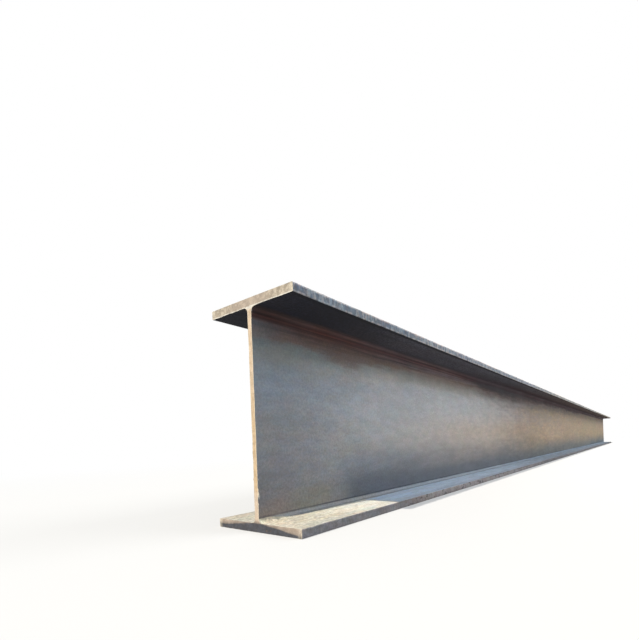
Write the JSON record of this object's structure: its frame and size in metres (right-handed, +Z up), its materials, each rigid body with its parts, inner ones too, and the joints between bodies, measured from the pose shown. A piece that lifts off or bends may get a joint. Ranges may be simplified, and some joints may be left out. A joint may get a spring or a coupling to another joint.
{
  "type": "steel h-beam",
  "caption": "Straight length of hot-rolled steel H-section: plain web between wide parallel flanges, rounded roots and square-cut ends.",
  "frame": {"origin": "under the middle of the beam, on the outer face of the lower flange", "axes": "+X along the length, +Y across the flanges, +Z up the web"},
  "size_m": [11, 0.302, 0.594],
  "materials": {
    "mill_scale_steel": "grey-blue mill scale as rolled, with light brown rust"
  },
  "bodies": {
    "root": {"h_beam": "mill_scale_steel"}
  },
  "joints": []
}
